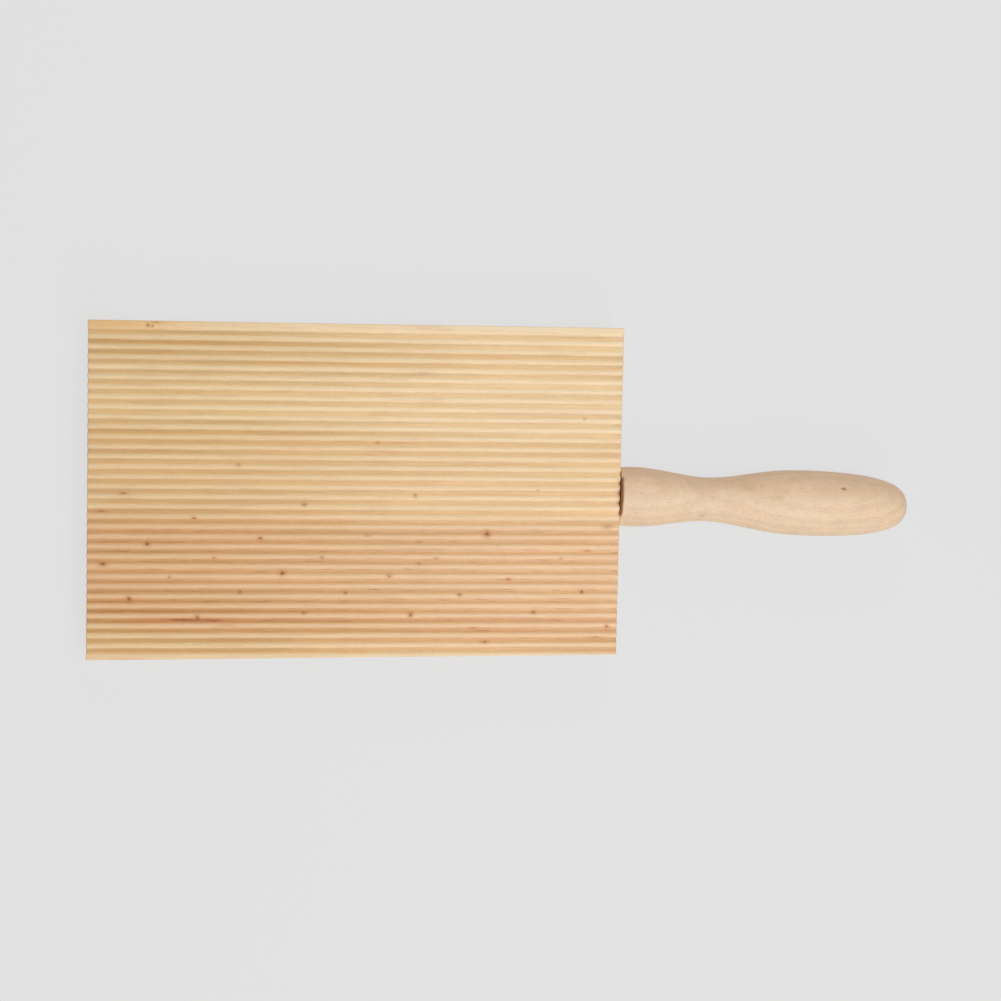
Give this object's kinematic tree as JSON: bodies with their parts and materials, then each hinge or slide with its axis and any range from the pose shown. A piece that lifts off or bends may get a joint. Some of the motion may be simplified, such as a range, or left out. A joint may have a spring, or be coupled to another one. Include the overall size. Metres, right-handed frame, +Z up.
{
  "type": "gnocchi board",
  "caption": "Ribbed wooden board with a turned handle on its end, for rolling gnocchi and other small pasta so that they take on grooves.",
  "frame": {"origin": "middle of the board's flat underside", "axes": "+X along the ribs towards the handle, +Y across the ribs, +Z up out of the ribbed face"},
  "size_m": [0.2124, 0.0852, 0.0172],
  "materials": {
    "board_softwood": "planed and lightly sanded, no varnish",
    "handle_hardwood": "turned and sanded smooth, no varnish",
    "dowel_hardwood": "fluted, as milled"
  },
  "bodies": {
    "root": {"ribbed_board": "board_softwood", "turned_handle": "handle_hardwood", "joint_dowel": "dowel_hardwood"}
  },
  "joints": []
}
